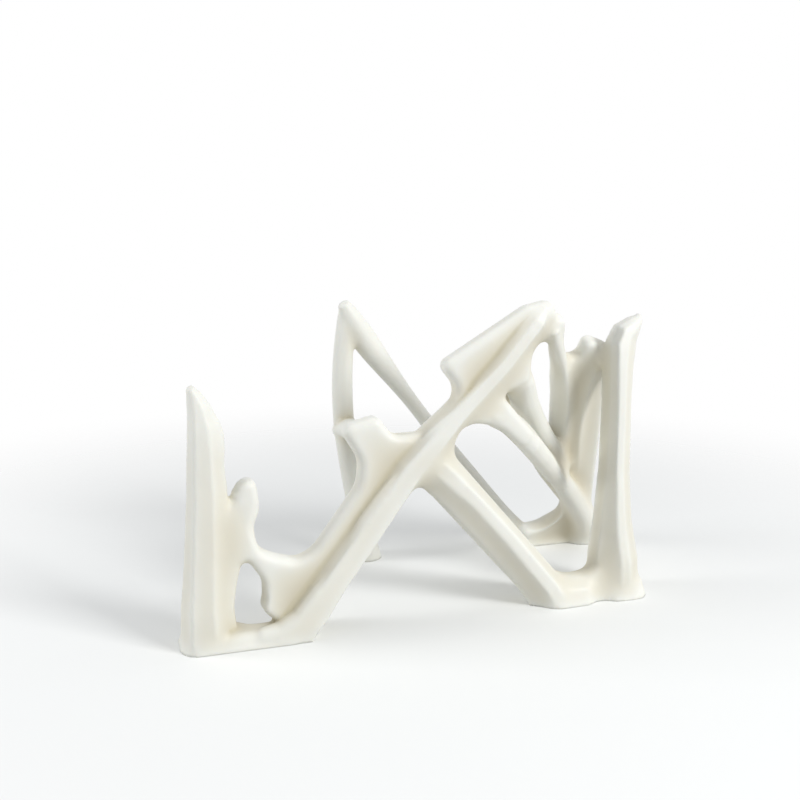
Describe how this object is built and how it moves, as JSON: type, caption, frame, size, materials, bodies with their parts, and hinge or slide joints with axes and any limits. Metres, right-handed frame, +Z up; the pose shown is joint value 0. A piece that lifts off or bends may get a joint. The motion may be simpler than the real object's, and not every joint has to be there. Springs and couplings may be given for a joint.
{
  "type": "game controller stand",
  "caption": "One-piece printed stand of bone-like bars and webs on feet, which cradles a hand-held controller at a tilt.",
  "frame": {"origin": "centre of the footprint, on the surface the stand rests on", "axes": "+X along the front towards the tall post, +Y to the back, +Z up"},
  "size_m": [0.1802, 0.0804, 0.1068],
  "materials": {
    "ivory_plastic": "satin"
  },
  "bodies": {
    "root": {"stand": "ivory_plastic"}
  },
  "joints": []
}
